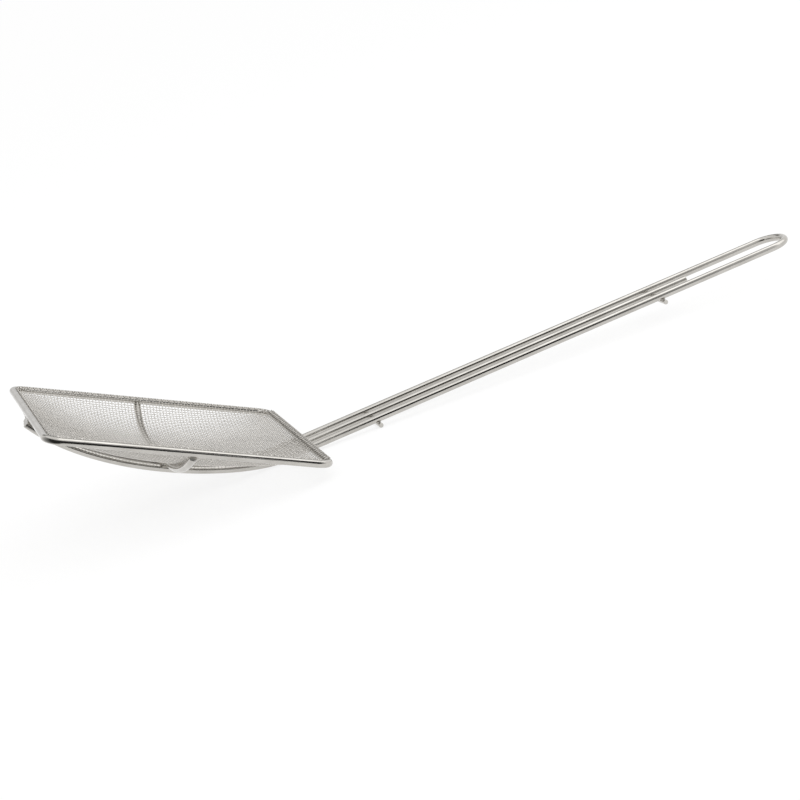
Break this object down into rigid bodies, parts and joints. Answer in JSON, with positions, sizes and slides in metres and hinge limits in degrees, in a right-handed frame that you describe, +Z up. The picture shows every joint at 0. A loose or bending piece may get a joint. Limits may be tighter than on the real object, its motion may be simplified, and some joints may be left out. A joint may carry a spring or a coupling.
{
  "type": "skimmer",
  "caption": "Square wire skimmer: a shallow bowl of woven wire cloth in a bent wire rim, carried on wires that run under it and on into a long handle with a hanging loop.",
  "frame": {"origin": "middle of the box's base, on the table that the skimmer lies on", "axes": "+X along the handle to the hanging loop, +Z up from the table"},
  "size_m": [0.5144, 0.1778, 0.0853],
  "materials": {
    "plated_wire": "polished",
    "wire_cloth": "satin"
  },
  "bodies": {
    "root": {"rim_frame": "plated_wire", "mesh_bowl": "wire_cloth", "bowl_cross_wire": "plated_wire", "handle_hairpin": "plated_wire", "handle_centre_wire": "plated_wire", "lower_cross_wire": "plated_wire", "upper_cross_wire": "plated_wire"}
  },
  "joints": []
}
